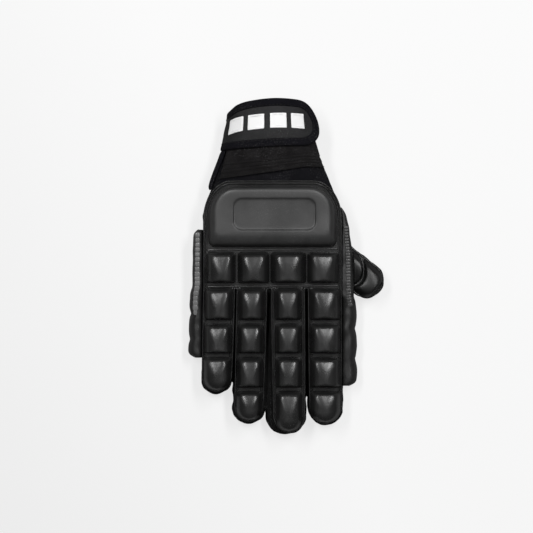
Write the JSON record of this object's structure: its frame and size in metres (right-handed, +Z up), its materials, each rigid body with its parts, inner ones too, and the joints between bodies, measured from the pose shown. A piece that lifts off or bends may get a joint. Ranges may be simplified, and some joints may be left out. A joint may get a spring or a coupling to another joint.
{
  "type": "field hockey glove",
  "caption": "Padded full-finger field hockey glove with moulded foam blocks on the back, fingers and thumb, side guards and a strapped cuff.",
  "frame": {"origin": "on the flat underside of the palm, level with the finger roots and midway across the hand", "axes": "+X to the thumb side, +Y from the finger roots to the wrist, +Z up to the back of the hand, with the glove lying palm down"},
  "size_m": [0.1568, 0.2684, 0.0453],
  "materials": {
    "moulded_leather": "satin",
    "palm_fabric": "matte",
    "stall_fabric": "matte",
    "cuff_neoprene": "matte",
    "loop_fabric": "matte",
    "binding_tape": "matte",
    "strap_face": "satin",
    "white_print": "matte"
  },
  "bodies": {
    "root": {"palm_shell": "palm_fabric", "back_shell": "stall_fabric", "cuff": "cuff_neoprene", "mouth_binding": "binding_tape", "back_sheet": "moulded_leather", "back_pad": "moulded_leather", "little_side_guard": "moulded_leather", "index_side_guard": "moulded_leather", "little_guard_ribs": "moulded_leather", "index_guard_ribs": "moulded_leather", "thumb_sheet": "moulded_leather", "thumb_pad_base": "moulded_leather", "thumb_pad_tip": "moulded_leather", "loop_patch": "loop_fabric", "cuff_edge_tape": "binding_tape", "closing_strap": "strap_face", "strap_binding": "binding_tape", "knuckle_pad_little": "moulded_leather", "knuckle_pad_ring": "moulded_leather", "knuckle_pad_middle": "moulded_leather", "knuckle_pad_index": "moulded_leather", "little_pad_1": "moulded_leather", "little_pad_2": "moulded_leather", "little_pad_3": "moulded_leather", "ring_pad_1": "moulded_leather", "ring_pad_2": "moulded_leather", "ring_pad_3": "moulded_leather", "ring_pad_4": "moulded_leather", "middle_pad_1": "moulded_leather", "middle_pad_2": "moulded_leather", "middle_pad_3": "moulded_leather", "middle_pad_4": "moulded_leather", "index_pad_1": "moulded_leather", "index_pad_2": "moulded_leather", "index_pad_3": "moulded_leather", "index_pad_4": "moulded_leather", "strap_square_1": "white_print", "strap_square_2": "white_print", "strap_square_3": "white_print", "strap_square_4": "white_print"}
  },
  "joints": []
}
